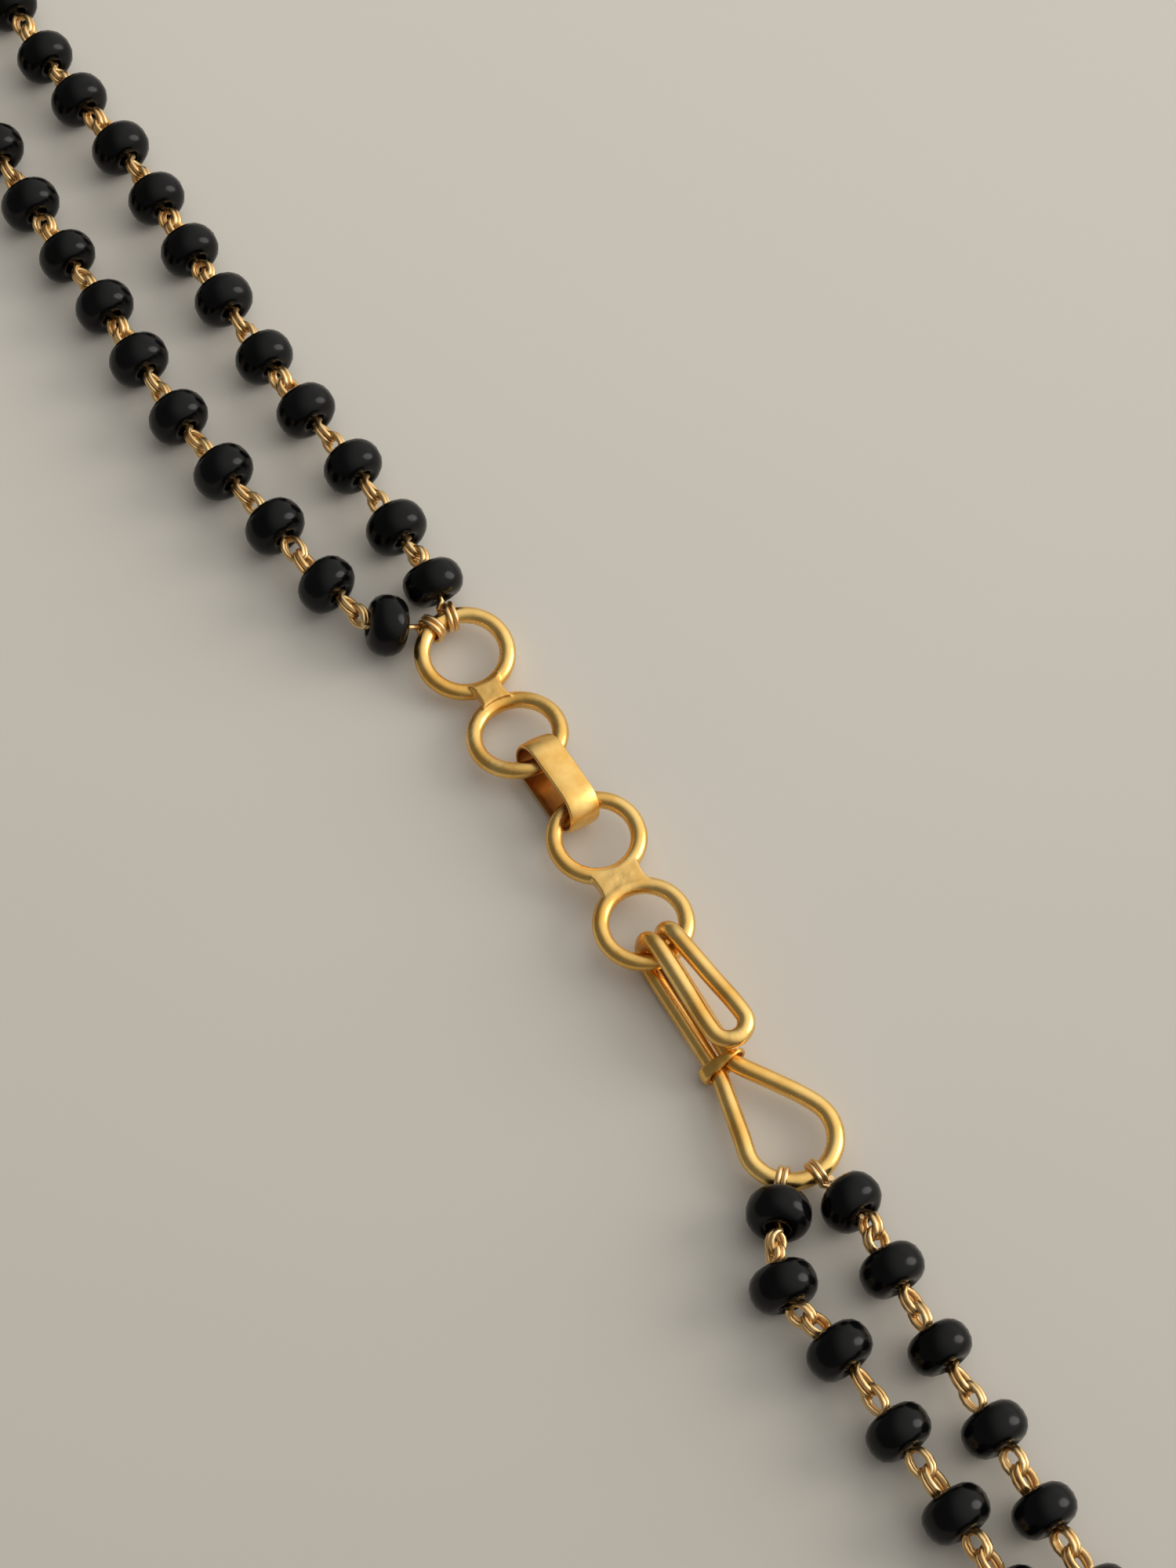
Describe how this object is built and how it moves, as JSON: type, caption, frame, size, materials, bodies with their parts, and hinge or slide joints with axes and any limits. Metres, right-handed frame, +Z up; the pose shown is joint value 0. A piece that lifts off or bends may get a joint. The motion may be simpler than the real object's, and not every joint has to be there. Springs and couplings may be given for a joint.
{
  "type": "mangalsutra chain",
  "caption": "Neck chain of two strands of black beads on linked gold wire, closed by a gold hook and a chain of soldered ring links, lying as a loop.",
  "frame": {"origin": "centre of the lying necklace's bounding box, on the plane that it lies on", "axes": "+Z up from the surface, +Y along the necklace's longer side from the hook towards the ring links, +X towards the side with the clasp"},
  "size_m": [0.0925, 0.1828, 0.003],
  "materials": {
    "gold": "polished yellow gold, hand soldered",
    "gold_wire": "drawn fine gold wire",
    "black_bead": "opaque polished black glass"
  },
  "bodies": {
    "root": {"upper_ring_link": "gold", "strap_link": "gold", "lower_ring_link": "gold", "hook": "gold", "hook_collar": "gold", "outer_ring_loop": "gold_wire", "inner_ring_loop": "gold_wire", "outer_eye_loop": "gold_wire", "inner_eye_loop": "gold_wire", "outer_wire_upper": "gold_wire", "outer_wire_lower": "gold_wire", "inner_wire_upper": "gold_wire", "inner_wire_lower": "gold_wire", "outer_beads": "black_bead", "inner_beads": "black_bead"}
  },
  "joints": []
}
